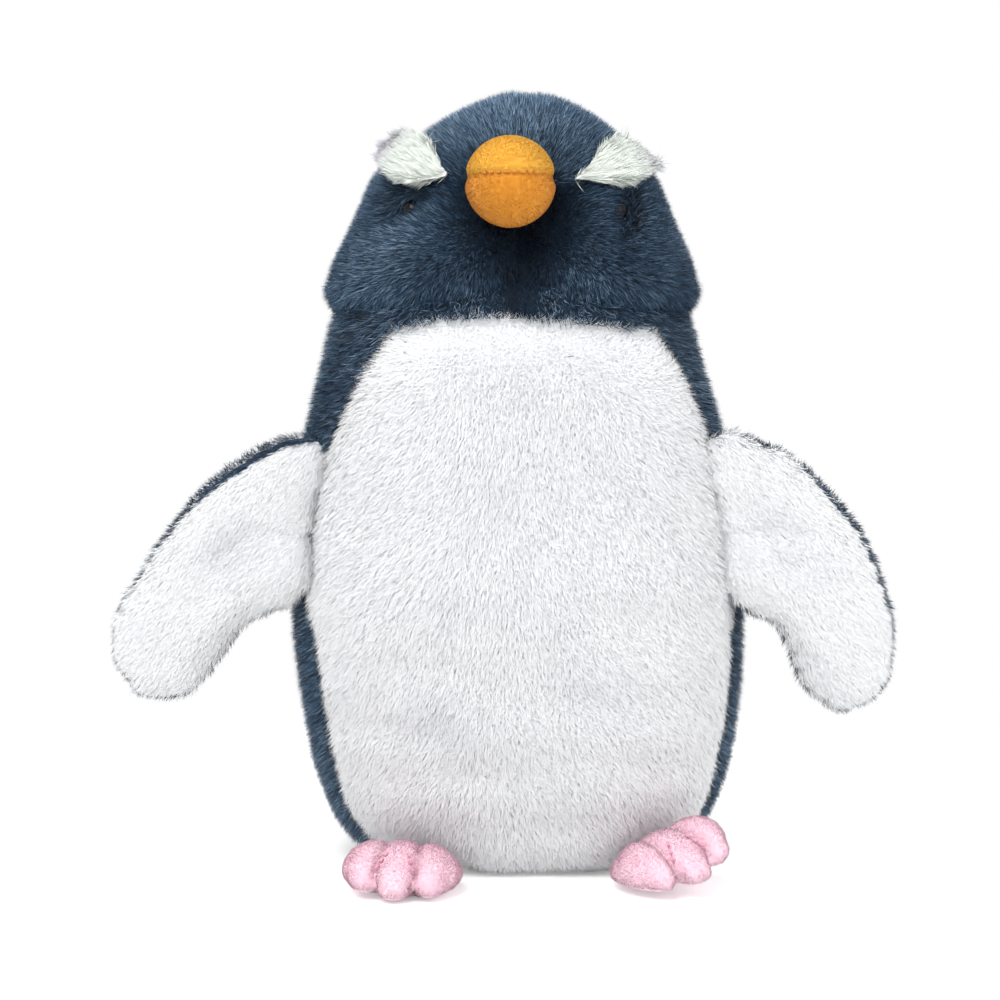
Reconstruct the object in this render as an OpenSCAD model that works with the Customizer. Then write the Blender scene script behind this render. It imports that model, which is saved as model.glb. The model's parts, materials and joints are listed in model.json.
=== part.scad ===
// Plush penguin that rests upright on a flat base, wings held out and toes forward.
// Millimetres. +Z is up, the face looks along -Y, and left and right are the penguin's own.
// The long-pile shells are drawn to the tips of their pile. Panels are patches of one
// surface function each, so that neighbours meet along their seams.

/* [Fabric] */
// thickness of the long-pile fabric, backing and pile together
pile_t = 5; // [4:0.5:6]
// thickness of the short-pile fleece of beak and feet
fleece_t = 2.2; // [1.8:0.1:2.6]
// room between a fabric's inside and the stuffing
fit = 0.8; // [0.6:0.1:1]
// room between two parts that move against each other
play = 0.4; // [0.3:0.1:0.8]

/* [Body] */
// half width at the waist
body_w = 73; // [70:1:76]
// roundness of the body's cross-section, 2 is an ellipse
body_n = 2.4; // [2.2:0.1:2.8]
// height of the neck crease at the sides
neck_z = 175; // [172:1:178]
// where the neck's centre lies, front to back
neck_y = -3; // [-5:1:0]
// radius of the ball-shaped neck face that the head rocks on
neck_r = 78; // [74:1:84]
// half width of the pellet bag in the base
pellet_w = 30; // [24:1:34]
// height of the pellet bag
pellet_h = 15; // [10:1:16]

/* [Head] */
// half width across the cheek lobes
head_w = 60; // [58:1:62]
// roundness of the head's cross-section
head_n = 2.2; // [2:0.1:2.4]
// top of the pile on the crown
crown_z = 247.6; // [246:0.1:249]
// radius of the ball-shaped beak
beak_r = 14.2; // [13:0.2:16]
// height of the beak's centre
beak_z = 216.5; // [213:0.5:219]
// how far the beak's centre lies to one side
beak_x = -1.5; // [-3:0.5:3]
// where the beak's centre lies in front
beak_y = -57.5; // [-60:0.5:-56]
// height of the mouth seam above the beak's centre
mouth_up = 2.2; // [0:0.2:4]
// tilt of the mouth seam, front edge up
mouth_tilt = 3; // [0:1:8]
// number of stitches on the mouth seam
mouth_n = 8; // [5:1:9]
// radius of an eye bead
eye_r = 3.6; // [3:0.1:4]
// angle of each eye around the head from the side
eye_a = 50; // [46:1:54]
// row of the head on which the eyes sit
eye_row = 4.6; // [4.2:0.1:5]
// length of a brow tuft's pile from its root
tuft_l = 28.5; // [24:0.5:31]

/* [Wings] */
// half thickness of a wing at its middle
wing_t = 7; // [6:0.5:8]
// side seam in which the wings are sewn, front to back
seam_y = -24; // [-26:1:-12]
// distance of the wing hinge line from the body's side
wing_off = 5.5; // [5.3:0.1:6.5]

/* [Feet] */
// length of a foot in front of its hinge line
foot_l = 34; // [30:1:36]
// half width of a foot across the toes
foot_w = 18; // [16:0.5:19]
// height of a foot at its highest, just in front of the heel seam
foot_h = 20; // [17:0.5:21]
// height of a foot at the heel seam
heel_h = 9.2; // [8.6:0.1:9.6]
// outward turn of the left foot
splay_l = 28; // [20:1:34]
// how far the left foot is rolled over, its outer edge up
roll_l = 13; // [8:1:15]
// outward turn of the right foot
splay_r = 9; // [5:1:20]

/* [Colours] */
// navy long pile
navy = [0.13, 0.21, 0.32];
// white long pile
white = [0.93, 0.93, 0.95];
// off-white brow pile
cream = [0.88, 0.9, 0.86];
// orange fleece
orange = [0.93, 0.6, 0.2];
// pink fleece
pink = [0.95, 0.74, 0.82];
// polyester stuffing
wadding = [0.85, 0.85, 0.83];
// black plastic
black = [0.03, 0.03, 0.03];

/* [Part to draw] */
// which sub-part is drawn

/* [Hidden] */
neck_c = [0, neck_y, neck_z - sqrt(neck_r * neck_r - pow(0.788 * body_w, 2))];
$fn = 48;

// ---------- curves ----------
function spow(v, n) = sign(v) * pow(abs(v), 2 / n);
function mix(a, b, t) = a + (b - a) * t;
function unit(v) = v / norm(v);
function gauss(d, s) = exp(-d * d / (2 * s * s));
// a row of a table at a fractional index
function row(tab, r) = let (i = min(floor(r), len(tab) - 2)) mix(tab[i], tab[i + 1], r - i);
// a row of a table at a height
function row_at(tab, z, i = 0) = (i >= len(tab) - 2 || z < tab[i + 1][0])
    ? mix(tab[i], tab[i + 1], (z - tab[i][0]) / (tab[i + 1][0] - tab[i][0])) : row_at(tab, z, i + 1);
// a smooth closed curve through control points, t from 0 to their count
function closed(p, t) = let (n = len(p), i = floor(t), u = t - i, a = p[(i + n - 1) % n],
    b = p[i % n], c = p[(i + 1) % n], d = p[(i + 2) % n])
    0.5 * (2 * b + (c - a) * u + (2 * a - 5 * b + 4 * c - d) * u * u + (3 * b - a - 3 * c + d) * u * u * u);

// ---------- patches ----------
// faces of a grid of rows x cols points that starts at point s; flip turns it over, and the first
// few columns are split along the other diagonal
function grid(s, rows, cols, wrap, flip, few = 0) = [for (j = [0:rows - 2], i = [0:cols - (wrap ? 1 : 2)])
    let (a = s + j * cols + i, b = s + j * cols + (i + 1) % cols, c = b + cols, d = a + cols)
    each (i < few ? (flip ? [[a, d, b], [b, d, c]] : [[a, b, d], [b, c, d]])
        : (flip ? [[a, c, b], [a, d, c]] : [[a, b, c], [a, c, d]]))];
// faces that close the last row to the point p
function cap(s, cols, wrap, p, flip) = [for (i = [0:cols - (wrap ? 1 : 2)])
    let (a = s + i, b = s + (i + 1) % cols) flip ? [a, p, b] : [a, b, p]];
// faces between the same two edges of the outer and inner grids, split along either diagonal
function wall(a, b, other = false) = [for (i = [0:len(a) - 2]) each (other
    ? [[a[i], b[i], a[i + 1]], [b[i], b[i + 1], a[i + 1]]]
    : [[a[i], b[i], b[i + 1]], [a[i], b[i + 1], a[i + 1]]])];
// shell between two grids of points, rows of equal length, that close at a point when tip is given
module shell(outer, inner, wrap = false, tip = undef, flip = false, few = 0) {
    nr = len(outer);
    nc = len(outer[0]);
    n = nr * nc;
    pts = concat([for (r = outer) each r], [for (r = inner) each r], tip == undef ? [] : tip);
    low = [for (i = [0:nc - (wrap ? 0 : 1)]) i % nc];
    top = [for (i = low) (nr - 1) * nc + i];
    lft = concat([for (j = [0:nr - 1]) j * nc], tip == undef ? [] : [2 * n]);
    rgt = concat([for (j = [0:nr - 1]) j * nc + nc - 1], tip == undef ? [] : [2 * n]);
    in = function (e) [for (k = e) k == 2 * n ? 2 * n + 1 : k + n];
    back = function (e) [for (k = [len(e) - 1:-1:0]) e[k]];
    fs = concat(
        grid(0, nr, nc, wrap, true, few), grid(n, nr, nc, wrap, false, few),
        tip == undef ? [] : concat(cap((nr - 1) * nc, nc, wrap, 2 * n, true),
            cap(n + (nr - 1) * nc, nc, wrap, 2 * n + 1, false)),
        wall(back(low), in(back(low)), flip && !wrap), tip == undef ? wall(top, in(top)) : [],
        wrap ? [] : concat(wall(lft, in(lft)), wall(back(rgt), in(back(rgt)), true)));
    polyhedron(pts, flip ? [for (f = fs) [f[0], f[2], f[1]]] : fs);
}
// solid from rings that run from the point first to the point last
module rings(first, rs, last) {
    nc = len(rs[0]);
    n = len(rs) * nc;
    polyhedron(concat([for (r = rs) each r], [first, last]), concat(grid(0, len(rs), nc, true, true),
        cap(0, nc, true, n, false), cap(n - nc, nc, true, n + 1, true)));
}
// stands children's +Z along v at p
module along(p, v) translate(p) rotate([0, acos(v[2] / norm(v)), atan2(v[1], v[0])]) children();
module mirrored(s) scale([s, 1, 1]) children();

// ---------- body ----------
// height, half width, front, back, share of the thickness taken upwards, share of the rise to
// the ball-shaped neck, half angle of the belly panel
body_rows = [
    [2.5, 0.685, -41, 35, 0.8, 0, 33], [6, 0.76, -44.5, 39.5, 0.55, 0, 46],
    [11, 0.808, -47, 43, 0.35, 0, 59], [18, 0.856, -49.5, 46.5, 0.2, 0, 64],
    [27, 0.904, -52, 49, 0.1, 0, 65], [42, 0.945, -54.5, 51.5, 0, 0, 65],
    [60, 0.977, -56, 52.5, 0, 0, 66], [80, 1, -56, 52, 0, 0, 67], [100, 0.99, -54.5, 50.5, 0, 0, 67.5],
    [120, 0.967, -52.5, 48.5, 0, 0, 66.5], [140, 0.929, -50.5, 46, 0, 0.15, 62],
    [155, 0.89, -49, 44, 0, 0.45, 53], [167, 0.842, -47.5, 42, 0, 0.75, 42],
    [171, 0.816, -46.8, 40.8, 0, 0.9, 41], [neck_z, 0.788, -46, 39.5, 0, 1, 41]];
// row on which the belly panel ends and the chin panel begins
belly_top = 12;
body_last = len(body_rows) - 1;
function ball_z(x, y, r) = neck_c[2] + sqrt(max(r * r - x * x - pow(y - neck_y, 2), 0));
function body_pt(a, k, off) = let (yc = (k[2] + k[3]) / 2, h = off * sqrt(1 - k[4] * k[4]),
    x = (k[1] * body_w - h) * spow(cos(a), body_n), y = yc + ((k[3] - k[2]) / 2 - h) * spow(sin(a), body_n))
    [x, y, k[0] + off * k[4] + k[5] * (ball_z(x, y, neck_r) - neck_z)];
function belly_a(k, t) = -90 + k[6] * mix(-1, 1, t);
function back_a(k, t, s) = 90 - s * (180 - k[6]) * (1 - t);
module body_patch(as, flip = false, few = 0, from = 0, to = body_last)
    shell([for (j = [from:to]) [for (a = as[j]) body_pt(a, body_rows[j], 0)]],
        [for (j = [from:to]) [for (a = as[j]) body_pt(a, body_rows[j], pile_t)]], flip = flip, few = few);
belly_cols = 16;
back_cols = 12;
belly_as = [for (k = body_rows) [for (i = [0:belly_cols]) belly_a(k, i / belly_cols)]];
// both run from the belly's seam to the seam down the back
function back_as(s) = [for (k = body_rows) [for (i = [0:back_cols]) back_a(k, i / back_cols, s)]];
// every seam angle on the lowest row, once round
base_as = concat([for (i = [0:belly_cols - 1]) belly_as[0][i]], [for (i = [0:back_cols - 1]) back_as(1)[0][i]],
    [for (i = [0:back_cols - 1]) back_as(-1)[0][back_cols - i]]);
body_yc = (body_rows[0][2] + body_rows[0][3]) / 2;
function base_ring(s, z, off) = [for (a = base_as)
    let (p = body_pt(a, body_rows[0], off)) [p[0] * s, mix(body_yc, p[1], s), z]];

module belly_panel() color(white) body_patch(belly_as, few = belly_cols / 2, to = belly_top);
module chin_panel() color(navy) body_patch(belly_as, few = belly_cols / 2, from = belly_top);
module back_panel_left() color(navy) body_patch(back_as(1));
module back_panel_right() color(navy) body_patch(back_as(-1), flip = true);
module base_panel() color(navy)
    shell([[for (a = base_as) body_pt(a, body_rows[0], 0)], base_ring(0.87, 0, 0), base_ring(0.45, 0, 0)],
        [[for (a = base_as) body_pt(a, body_rows[0], pile_t)], base_ring(0.87, pile_t, pile_t),
        base_ring(0.45, pile_t, pile_t)], true, [[0, body_yc, 0], [0, body_yc, pile_t]], flip = true);
module body_stuffing() color(wadding) {
    off = pile_t + fit;
    as = [for (i = [0:31]) i * 11.25];
    f = function (s, z) [for (a = as) let (p = body_pt(a, body_rows[0], off)) [p[0] * s, mix(body_yc, p[1], s), z]];
    top = [for (a = as) body_pt(a, body_rows[body_last], off)];
    rings([0, body_yc, off + pellet_h + 1.5], concat(
        [f(0.45, off + pellet_h + 1.2), f(0.85, off + 4), f(0.9, off)],
        [for (k = body_rows) [for (a = as) body_pt(a, k, off)]],
        [for (s = [0.8, 0.55, 0.28]) [for (p = top) let (x = p[0] * s, y = mix(neck_y, p[1], s))
            [x, y, ball_z(x, y, neck_r)]]]), [0, neck_y, neck_c[2] + neck_r]);
}
// a low cushion of pellets that keeps the toy upright
module pellet_bag() color(cream) {
    z0 = pile_t + 0.1;
    r = function (s, z) [for (i = [0:23]) [pellet_w * s * cos(i * 15), body_yc + 0.72 * pellet_w * s * sin(i * 15), z]];
    rings([0, body_yc, z0], [r(0.7, z0), r(0.94, z0 + 1.5), r(0.9, z0 + 3.5), r(0.6, z0 + pellet_h * 0.62),
        r(0.34, z0 + pellet_h * 0.92)], [0, body_yc, z0 + pellet_h]);
}

// ---------- head ----------
// height, half width, front, back, share of the thickness taken downwards, share of the rise
function head_z(share) = mix(neck_z + play, crown_z, share);
head_rows = [
    [head_z(0), 0.935, -47, 40, 0, 1], [head_z(0.078), 0.964, -50, 42, 0, 0.85],
    [head_z(0.154), 0.988, -51.2, 43, 0.1, 0.62], [head_z(0.27), 0.92, -51.5, 43, 0.25, 0.35],
    [head_z(0.396), 0.855, -50.8, 41.5, 0.4, 0.15], [head_z(0.507), 0.8, -49.3, 38, 0.5, 0],
    [head_z(0.618), 0.752, -46.5, 33, 0.6, 0], [head_z(0.729), 0.62, -42.3, 25.5, 0.7, 0],
    [head_z(0.825), 0.472, -37, 16.5, 0.8, 0], [head_z(0.902), 0.325, -31, 7.5, 0.88, 0],
    [head_z(0.957), 0.17, -24, 0, 0.95, 0]];
head_last = len(head_rows) - 1;
crown_y = -12;
function head_pt(a, k, off) = let (yc = (k[2] + k[3]) / 2, h = off * sqrt(1 - k[4] * k[4]),
    x = (k[1] * head_w - h) * spow(cos(a), head_n), y = yc + ((k[3] - k[2]) / 2 - h) * spow(sin(a), head_n))
    [x, y, k[0] - off * k[4] + k[5] * (ball_z(x, y, neck_r + play) - neck_z - play)];
function head_normal(a, r) = unit(cross(head_pt(a + 2, row(head_rows, r), 0) - head_pt(a - 2, row(head_rows, r), 0),
    head_pt(a, row(head_rows, r + 0.2), 0) - head_pt(a, row(head_rows, r - 0.2), 0)));
head_cols = 16;
module head_panel(s)
    shell([for (k = head_rows) [for (i = [0:head_cols]) head_pt(90 - 180 * (s > 0 ? 1 - i / head_cols
            : -i / head_cols), k, 0)]],
        [for (k = head_rows) [for (i = [0:head_cols]) head_pt(90 - 180 * (s > 0 ? 1 - i / head_cols
            : -i / head_cols), k, pile_t)]],
        tip = [[0, crown_y, crown_z], [0, crown_y, crown_z - pile_t]]);
function eye_at(s) = head_pt(s > 0 ? -eye_a : eye_a - 180, row(head_rows, eye_row), 0);
function eye_dir(s) = head_normal(s > 0 ? -eye_a : eye_a - 180, eye_row);
shank_r = 1.5;
washer_r = 6;
washer_t = 1.5;
bead_in = 3.3;
washer_in = pile_t + 2.1;
// bead and shank of an eye, sunk in the pile
module eye_bead(s) along(eye_at(s), eye_dir(s)) {
    translate([0, 0, -bead_in]) sphere(eye_r);
    translate([0, 0, -washer_in - washer_t - 1]) cylinder(r = shank_r, h = washer_in + washer_t - bead_in);
}
module eye_washer(s) along(eye_at(s), eye_dir(s)) translate([0, 0, -washer_in - washer_t])
    difference() {
        cylinder(r = washer_r, h = washer_t);
        translate([0, 0, -1]) cylinder(r = shank_r, h = washer_t + 2);
    }
module eye_pocket(s) along(eye_at(s), eye_dir(s)) translate([0, 0, -washer_in - washer_t - 1.6])
    cylinder(r = washer_r + 0.5, h = washer_t + 6);
module head_panel_left() color(navy) difference() { head_panel(1); eye_bead(1); }
module head_panel_right() color(navy) difference() { head_panel(-1); eye_bead(-1); }
module head_stuffing() color(wadding) difference() {
    off = pile_t + fit;
    as = [for (i = [0:27]) i * 360 / 28];
    low = [for (a = as) head_pt(a, head_rows[0], off)];
    rings([0, neck_y, neck_c[2] + neck_r + play], concat(
        [for (s = [0.28, 0.55, 0.8]) [for (p = low) let (x = p[0] * s, y = mix(neck_y, p[1], s))
            [x, y, ball_z(x, y, neck_r + play)]]],
        [for (k = head_rows) [for (a = as) head_pt(a, k, off)]]), [0, crown_y, crown_z - off]);
    eye_pocket(1);
    eye_pocket(-1);
}
module eye_left() color(black) eye_bead(1);
module eye_right() color(black) eye_bead(-1);
module eye_washer_left() color(black) eye_washer(1);
module eye_washer_right() color(black) eye_washer(-1);

// fan of long straight pile sewn on beside the beak, spread about its root
function face_pt(x, z, off) = let (k = row_at(head_rows, z), w = k[1] * head_w, d = (k[3] - k[2]) / 2,
    u = min(abs(x) / w, 0.975), v = pow(1 - pow(u, head_n), 1 / head_n), sx = sign(x),
    n = unit([sx * pow(u, head_n - 1) / w, -pow(v, head_n - 1) / d, k[4] / (w + d) * 1.6]))
    [sx * u * w, (k[2] + k[3]) / 2 - d * v, z] + off * n;
// each fan: angles about the root and the pile's length there, as a share of the longest
fan_left = [[-4, 0.6], [2, 0.84], [8, 1], [18, 0.89], [29, 0.79], [40, 0.73], [47, 0.58]];
fan_right = [[-26, 0.38], [-6, 0.65], [6, 0.75], [17, 0.84], [30, 0.86], [45, 0.76], [57, 0.5]];
function tuft_pt(s, u, v, fan, root, k) = let (f = row(fan, u * (len(fan) - 1)), r = mix(1.5, tuft_l * f[1], v))
    face_pt(s * (root[0] + r * cos(f[0])), min(root[1] + r * sin(f[0]), head_z(0.897)), k ? 2 + 6 * v * v : 0.7);
module tuft(s, fan, root) {
    p = function (k) [for (j = [0:6]) [for (i = [0:8]) tuft_pt(s, s > 0 ? i / 8 : 1 - i / 8, j / 6, fan, root, k)]];
    shell(p(true), p(false), flip = true);
}
module brow_tuft_left() color(cream) tuft(1, fan_left, [15.6, 216]);
module brow_tuft_right() color(cream) tuft(-1, fan_right, [18.3, 217.8]);

// ---------- beak ----------
module face_tool() {
    rs = [for (r = [2.4, 3.5, 4.5, 5.5, 6.5, 7.5, 8.3]) row(head_rows, r)];
    shell([for (k = rs) [for (i = [0:10]) head_pt(-125 + i * 7, k, -0.2)]],
        [for (k = rs) [for (i = [0:10]) head_pt(-125 + i * 7, k, 18)]]);
}
module at_mouth() translate([beak_x, beak_y, beak_z]) rotate([-mouth_tilt, 0, 0]) translate([0, 0, mouth_up])
    children();
mouth_r = sqrt(beak_r * beak_r - mouth_up * mouth_up);
thread_r = 0.45;
module beak_half(s) difference() {
    translate([beak_x, beak_y, beak_z]) sphere(beak_r);
    translate([beak_x, beak_y, beak_z]) sphere(beak_r - fleece_t);
    face_tool();
    at_mouth() translate([-30, -30, s > 0 ? -60 : 0]) cube([60, 60, 60]);
    at_mouth() rotate_extrude() translate([mouth_r, 0]) circle(2 * thread_r);
}
module beak_upper() color(orange) beak_half(1);
module beak_lower() color([0.86, 0.5, 0.13]) beak_half(-1);
// a ball cut flat just in front of the face
beak_flat = 5.4;
module beak_stuffing() color(wadding) translate([beak_x, beak_y, beak_z]) rotate([90, 0, 0]) rotate_extrude()
    intersection() {
        circle(beak_r - fleece_t - 0.1);
        translate([0, -beak_flat]) square([beak_r, beak_flat + beak_r]);
    }
module mouth_stitches() color([0.75, 0.4, 0.08]) at_mouth() for (i = [0:mouth_n - 1])
    rotate([0, 0, -90 + (i - (mouth_n - 1) / 2) * 10 - 3]) rotate_extrude(angle = 6)
        translate([mouth_r - thread_r, 0]) circle(thread_r, $fn = 24);

// ---------- wings ----------
// outline from the hinge line outwards and up from the hinge's middle, one for each wing
wing_z = 112;
wing_root = 3.8;
outline_left = [[-wing_root, 27.5], [5.9, 25], [15.6, 19.1], [25.8, 8.9], [34.5, -2], [39.8, -13.3], [42.7, -26.6],
    [44.5, -38.5], [43.7, -50.3], [40.7, -60.1], [34.8, -65.3], [25, -66.3], [16.5, -62.1], [13.7, -52.3], [6.8, -41.4],
    [-wing_root, -30], [-wing_root - 0.2, 1]];
outline_right = [[-wing_root, 28], [6.9, 23.3], [18.9, 14.5], [29.3, 4.9], [40.3, -12.8], [45.7, -27], [50.7, -37.4],
    [52.2, -46.5], [49.9, -54.5], [44.1, -61.4], [36.8, -64.5], [29.5, -61.7], [20.8, -52.7], [11, -41.4],
    [-wing_root, -30.5], [-wing_root - 0.2, 1]];
wing_mid = [19, -13];
wing_cols = 36;
wing_rows = [1, 0.94, 0.82, 0.6, 0.32];
// hinge line: parallel to the body's side between these two heights
hinge_z0 = 86;
hinge_z1 = 138;
function side_x(z) = let (k = row_at(body_rows, z), d = (k[3] - k[2]) / 2)
    k[1] * body_w * pow(1 - pow(((k[2] + k[3]) / 2 - seam_y) / d, body_n), 1 / body_n);
hinge_x0 = side_x(hinge_z0) + wing_off;
hinge_x1 = side_x(hinge_z1) + wing_off;
wing_lean = atan2(hinge_x0 - hinge_x1, hinge_z1 - hinge_z0);
wing_x = mix(hinge_x0, hinge_x1, (wing_z - hinge_z0) / (hinge_z1 - hinge_z0));
module at_wing(s) translate([s * wing_x, seam_y, wing_z]) rotate([0, -s * wing_lean, 0]) children();
function wing_pt(o, s, i, q, front, off) = let (p = closed(o, i * len(o) / wing_cols), l = norm(p - wing_mid),
    c = wing_mid + (p - wing_mid) * q * (1 - off / l), y = (wing_t - off) * sqrt(1 - pow(q, 2.6)))
    [s * c[0], front * y, c[1]];
module wing_shell(o, s, front) {
    g = function (off) [for (q = wing_rows) [for (i = [0:wing_cols - 1])
        wing_pt(o, s, s * front > 0 ? i : wing_cols - i, q, front, off)]];
    m = function (off) [s * wing_mid[0], front * (wing_t - off), wing_mid[1]];
    shell(g(0), g(pile_t * 0.7), true, [m(0), m(pile_t * 0.7)]);
}
module wing_fill(o, s) {
    off = pile_t * 0.7 + 0.35;
    g = function (front, qs) [for (q = qs) [for (i = [0:wing_cols - 1]) wing_pt(o, s, s > 0 ? wing_cols - i : i, q, front, off)]];
    rings([s * wing_mid[0], off - wing_t, wing_mid[1]], concat(g(-1, [0.32, 0.6, 0.82, 0.94]), g(1, [1, 0.94, 0.82, 0.6, 0.32])),
        [s * wing_mid[0], wing_t - off, wing_mid[1]]);
}
module wing_front_left() color(white) at_wing(1) wing_shell(outline_left, 1, -1);
module wing_back_left() color(navy) at_wing(1) wing_shell(outline_left, 1, 1);
module wing_stuffing_left() color(wadding) at_wing(1) wing_fill(outline_left, 1);
module wing_front_right() color(white) at_wing(-1) wing_shell(outline_right, -1, -1);
module wing_back_right() color(navy) at_wing(-1) wing_shell(outline_right, -1, 1);
module wing_stuffing_right() color(wadding) at_wing(-1) wing_fill(outline_right, -1);

// ---------- feet ----------
heel_z = heel_h / 2;
foot_left_at = [41.4, -42.65, 4];
foot_right_at = [-32.2, -45, 0];
module at_foot(s) translate(s > 0 ? foot_left_at : foot_right_at)
    rotate([0, s > 0 ? -roll_l : 0, s > 0 ? splay_l : -splay_r]) children();
// lifts a foot's outer toe by up to c, whose sign says on which side that toe is
function curled(p, c) = [p[0], p[1], p[2]
    + abs(c) * pow(max(0, sign(c) * p[0]) / foot_w, 2) * min(1, max(0, 2 - p[1]) / 14)];
curl_left = 9;
curl_right = -4;
foot_cols = 48;
foot_mid = -15;
heel_back = 4.2;
cleft_a = 22.5;
toe_h = 8;
// share by which the clefts between the toes draw the surface in, at angle a round the foot
function cleft(a) = gauss(abs(a + 90) - cleft_a, 6);
peak_t = 0.36;
function foot_high(y) = let (t = (heel_back - y) / (foot_l + heel_back), u = min(1, t / peak_t),
    v = max(0, t - peak_t) / (1 - peak_t)) mix(mix(heel_h, foot_h, u * (2 - u)), toe_h, pow(v, 1.4));
// a round the foot, q across it, f up it
function foot_pt(a, q, f, off) = let (front = a < 0 && a > -180, c = front ? cleft(a) : 0,
    len_y = front ? foot_l + foot_mid - off : heel_back - foot_mid - off, k = 1 - 0.2 * c,
    sy = spow(sin(a), front ? 2.3 : 2.8), y = foot_mid + len_y * sy * q * k,
    wide = (foot_w - off) * (front ? 1 - 0.04 * sin(-a) : 1 - 0.27 * pow(sin(a), 2)))
    [wide * spow(cos(a), 2.4) * q * k, y, max(off, f * (foot_high(y) - off) * (1 - 0.32 * c * q * (f > 0.5 ? 1 : 0)))];
foot_as = [for (i = [0:foot_cols - 1]) i * 360 / foot_cols];
foot_turn = [for (a = foot_as) a > 180 ? a - 360 : a];
foot_up = [[1, 0.22], [1, 0.45], [0.93, 0.72], [0.74, 0.91], [0.4, 0.99]];
module foot_top(c) {
    shell([for (r = foot_up) [for (a = foot_turn) curled(foot_pt(a, r[0], r[1], 0), c)]],
        [for (r = foot_up) [for (a = foot_turn) curled(foot_pt(a, r[0], r[1], fleece_t), c)]], true,
        [[0, foot_mid, foot_high(foot_mid)], [0, foot_mid, foot_high(foot_mid) - fleece_t]]);
}
module foot_sole(c) {
    low = function (q, z, off) [for (a = foot_turn) let (p = foot_pt(a, q, 0, off)) curled([p[0], p[1], z], c)];
    rim = function (off) [for (a = foot_turn) curled(foot_pt(a, 1, foot_up[0][1], off), c)];
    shell([rim(0), low(0.9, 0, 0), low(0.45, 0, 0)], [rim(fleece_t), low(0.88, fleece_t, fleece_t),
        low(0.45, fleece_t, fleece_t)], true, [[0, foot_mid, 0], [0, foot_mid, fleece_t]], flip = true);
}
module foot_fill(c) {
    off = fleece_t + 0.35;
    rings([0, foot_mid, off], concat(
        [for (q = [0.5, 0.85]) [for (a = foot_turn) curled(foot_pt(a, q, 0, off), c)]],
        [for (r = foot_up) [for (a = foot_turn) curled(foot_pt(a, r[0], max(r[1], 0.3), off), c)]]),
        [0, foot_mid, foot_high(foot_mid) - off]);
}
// stitches in the two clefts between the toes
module toe_thread(c) for (s = [-1, 1], i = [0:2]) {
    p = curled(foot_pt(-90 + s * cleft_a, 0.5 + 0.14 * i, 1, -1.4), c);
    q = curled(foot_pt(-90 + s * cleft_a, 0.58 + 0.14 * i, 1, -1.4), c);
    along(p, q - p) cylinder(r = thread_r, h = norm(q - p));
}
module foot_top_left() color(pink) at_foot(1) foot_top(curl_left);
module foot_sole_left() color(pink) at_foot(1) foot_sole(curl_left);
module foot_stuffing_left() color(wadding) at_foot(1) foot_fill(curl_left);
module toe_stitches_left() color([0.85, 0.55, 0.65]) at_foot(1) toe_thread(curl_left);
module foot_top_right() color(pink) at_foot(-1) foot_top(curl_right);
module foot_sole_right() color(pink) at_foot(-1) foot_sole(curl_right);
module foot_stuffing_right() color(wadding) at_foot(-1) foot_fill(curl_right);
module toe_stitches_right() color([0.85, 0.55, 0.65]) at_foot(-1) toe_thread(curl_right);

belly_panel();
chin_panel();
back_panel_left();
back_panel_right();
base_panel();
body_stuffing();
pellet_bag();
head_panel_left();
head_panel_right();
head_stuffing();
brow_tuft_left();
brow_tuft_right();
beak_upper();
beak_lower();
beak_stuffing();
mouth_stitches();
eye_left();
eye_right();
eye_washer_left();
eye_washer_right();
wing_front_left();
wing_back_left();
wing_stuffing_left();
wing_front_right();
wing_back_right();
wing_stuffing_right();
foot_top_left();
foot_sole_left();
foot_stuffing_left();
toe_stitches_left();
foot_top_right();
foot_sole_right();
foot_stuffing_right();
toe_stitches_right();
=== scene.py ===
"""Looks of a plush penguin: stuffed skins, long pile grown strand by strand, fleece beak and feet."""

import json
import math
import bmesh
import bpy
import numpy as np
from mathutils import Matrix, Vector, kdtree
from mathutils.bvhtree import BVHTree


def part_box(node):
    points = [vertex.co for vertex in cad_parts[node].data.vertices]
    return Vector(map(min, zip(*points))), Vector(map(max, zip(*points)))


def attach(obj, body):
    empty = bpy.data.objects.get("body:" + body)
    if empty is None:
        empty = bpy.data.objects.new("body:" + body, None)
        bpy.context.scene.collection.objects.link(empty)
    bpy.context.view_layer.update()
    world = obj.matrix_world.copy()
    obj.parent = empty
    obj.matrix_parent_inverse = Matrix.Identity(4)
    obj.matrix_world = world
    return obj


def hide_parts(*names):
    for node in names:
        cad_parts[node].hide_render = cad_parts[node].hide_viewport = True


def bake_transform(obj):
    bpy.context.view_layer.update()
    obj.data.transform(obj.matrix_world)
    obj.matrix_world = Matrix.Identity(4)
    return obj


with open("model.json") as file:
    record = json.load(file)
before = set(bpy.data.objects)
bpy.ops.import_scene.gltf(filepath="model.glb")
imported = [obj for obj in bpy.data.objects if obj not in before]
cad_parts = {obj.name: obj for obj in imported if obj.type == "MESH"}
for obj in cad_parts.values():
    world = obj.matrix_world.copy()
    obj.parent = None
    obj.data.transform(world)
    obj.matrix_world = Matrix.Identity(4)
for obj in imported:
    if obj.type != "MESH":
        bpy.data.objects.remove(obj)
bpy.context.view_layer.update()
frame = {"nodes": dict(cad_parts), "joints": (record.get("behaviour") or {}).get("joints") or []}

bl_info = {
    "name": "Plush penguin looks",
    "version": (1, 0, 0),
    "blender": (4, 5, 0),
    "location": "View3D > Sidebar > Toy",
    "description": "Skins, pile, beak, feet and stage of a plush penguin",
    "category": "Object",
}

MM = 0.001
JOINTS = {j["name"]: j for j in frame["joints"]}
# the ball face on which the head nods: its middle and radius
NECK, NECK_R = JOINTS["head_nod"]["pos_m"], 0.08
# the height at which strands that reach the table lie on it
TABLE_GAP = 0.4 * MM
# how deep strands start below the skin
ROOT_DEPTH = 0.4 * MM
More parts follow.
